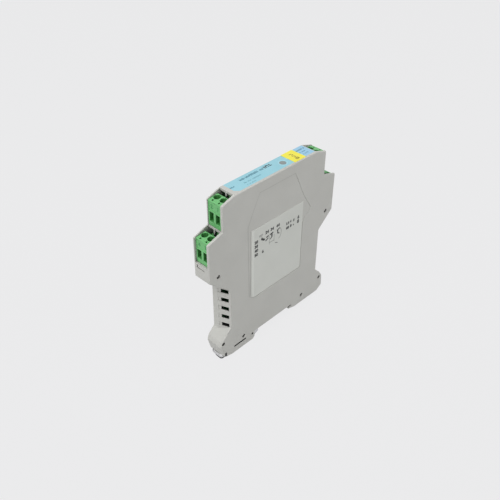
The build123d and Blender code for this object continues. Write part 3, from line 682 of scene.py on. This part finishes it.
# Plan of the tongue: a straight back, then a quarter circle at each front corner, whose points are
# radius * (1 - sine) from one edge and radius * (1 - cosine) from the other
def tonguePlan(farEdge, inset):
    turn = np.radians(np.linspace(0, 90, catchEnd["steps"]))
    left, near, far = catchEnd["left"] + inset, catchEnd["near"] + inset, farEdge - inset
    closing, opening = 1 - np.sin(turn), 1 - np.cos(turn)
    farRadius, nearRadius = catchEnd["farCorner"], catchEnd["nearCorner"]
    farArc = np.stack([left + farRadius * closing, far - farRadius * opening], axis=1)
    nearArc = np.stack([left + nearRadius * opening, near + nearRadius * closing], axis=1)
    back = np.array([(catchEnd["right"], near), (catchEnd["right"], far)])
    return np.concatenate([back, farArc, nearArc])


# Painted shade: the tongue turns dark below the top of the shade
changeAlong(finishes["catchWithPaintedShade"], "Z", catchEnd["paintedShadeTop"] - catchEnd["paintedShadeFade"],
            catchEnd["paintedShadeTop"] + catchEnd["paintedShadeFade"], low=catchEnd["paintedShadeColour"])
tongueRings = [np.insert(tonguePlan(farEdge, inset), 2, height, axis=1)
               for height, farEdge, inset in catchEnd["rings"]]
tongueCorners, tongueFaces = stackedRings(tongueRings)
newPiece("catchTongue", tongueCorners, tongueFaces, "catchWithPaintedShade", "foot_catch")
print("catch end ready")


# Studio: a pale floor and sky. Rays that see them get the shown colour, and the others light the object.

studio = {
    "floorHeight": -6.25,
    "floorHalf": 3000.0,
    "floorRoughness": 0.9,
    "floorPaint": (208, 208, 209),
    "shownColour": (235, 235, 236),
    "shownFloor": 0.96,  # share of the shown colour on the floor, whose rest keeps the object's shadow
    "shownSky": 1.0,
    "skyLight": 0.55,
}
shownColour = srgb(*studio["shownColour"])


# 1 for rays that come from the camera, straight, by a reflection or through glass, and 0 for those that
# light the object
def seenRays(owner):
    path = addNode(owner, "ShaderNodeLightPath").outputs
    seen = arithmetic(owner, "MAXIMUM", path["Is Camera Ray"], path["Is Glossy Ray"])
    return arithmetic(owner, "MAXIMUM", seen, path["Is Transmission Ray"])


# A material's or world's output: the first shader, and the second for the share of the rays
def mixSurface(owner, output, share, first, second):
    mixed = addNode(owner, "ShaderNodeMixShader", {0: share, 1: first, 2: second})
    owner.node_tree.links.new(mixed.outputs[0], owner.node_tree.nodes[output].inputs["Surface"])


floorMesh = bpy.data.meshes.new("studioFloor")
floorCorners = np.array([(-1, -1, 0), (1, -1, 0), (1, 1, 0), (-1, 1, 0)]) * studio["floorHalf"]
floorCorners += (0, 0, studio["floorHeight"])
floorMesh.from_pydata((floorCorners * mm).tolist(), [], [(0, 1, 2, 3)])
floor = bpy.data.objects.new("studioFloor", floorMesh)
bpy.context.collection.objects.link(floor)
floorPaint, floorShader = newMaterial("floorPaint", studio["floorRoughness"])
floorShader.inputs["Base Color"].default_value = srgb(*studio["floorPaint"])
glow = addNode(floorPaint, "ShaderNodeEmission", {"Color": shownColour, "Strength": 1.0})
share = arithmetic(floorPaint, "MULTIPLY", seenRays(floorPaint), studio["shownFloor"])
mixSurface(floorPaint, "Material Output", share, floorShader.outputs[0], glow.outputs[0])
floorMesh.materials.append(floorPaint)

world = bpy.data.worlds.new("studioWorld")
bpy.context.scene.world = world
world.use_nodes = True
sky = world.node_tree.nodes["Background"]
sky.inputs["Color"].default_value = shownColour
sky.inputs["Strength"].default_value = studio["skyLight"]
backdrop = addNode(world, "ShaderNodeBackground", {"Color": shownColour, "Strength": studio["shownSky"]})
mixSurface(world, "World Output", seenRays(world), sky.outputs[0], backdrop.outputs[0])

# Soft disks of light, in metres and watts

lights = {
    "keyLight": {"place": (-0.75, -0.1, 0.95), "aim": (0, 0, 0.05), "size": 0.7, "power": 9.6},
    "topLight": {"place": (0.05, 0.15, 1.1), "aim": (0, 0, 0.08), "size": 0.6, "power": 1.5},
    "fillLight": {"place": (0.5, -0.9, 0.6), "aim": (0, 0, 0.05), "size": 0.9, "power": 3.5},
}
for name, light in lights.items():
    data = bpy.data.lights.new(name, "AREA")
    data.shape = "DISK"
    data.size = light["size"]
    data.energy = light["power"]
    lamp = bpy.data.objects.new(name, data)
    bpy.context.collection.objects.link(lamp)
    lamp.location = light["place"]
    aimed = Vector(light["aim"]) - Vector(light["place"])
    lamp.rotation_euler = aimed.to_track_quat("-Z", "Y").to_euler()

# Camera: looks along the azimuth and elevation at the target, moved aside and up in the picture; its focal
# length is in pixels of the picture

view = {
    "azimuth": math.radians(-45.33), "elevation": math.radians(37.31), "distance": 386.7,
    "target": (0, -0.05, 57.0), "aside": -11.408, "up": -2.248,
    "focal": 616.74, "pictureWidth": 500, "sensorWidth": 36.0, "nearest": 10.0,
}
azimuth, elevation = view["azimuth"], view["elevation"]
level = math.cos(elevation)
back = Vector((math.sin(azimuth) * level, -math.cos(azimuth) * level, math.sin(elevation)))
right = Vector((math.cos(azimuth), math.sin(azimuth), 0))
upward = back.cross(right)
middle = Vector(view["target"]) + right * view["aside"] + upward * view["up"]
cameraData = bpy.data.cameras.new("camera")
cameraData.sensor_width = view["sensorWidth"]
cameraData.lens = view["sensorWidth"] * view["focal"] / view["pictureWidth"]
cameraData.clip_start = view["nearest"] * mm
camera = bpy.data.objects.new("camera", cameraData)
bpy.context.collection.objects.link(camera)
turned = Matrix((right, upward, back)).transposed().to_4x4()
camera.matrix_world = Matrix.Translation((middle + back * view["distance"]) * mm) @ turned
bpy.context.scene.camera = camera
bpy.context.scene.view_settings.view_transform = "Standard"
print("studio ready")
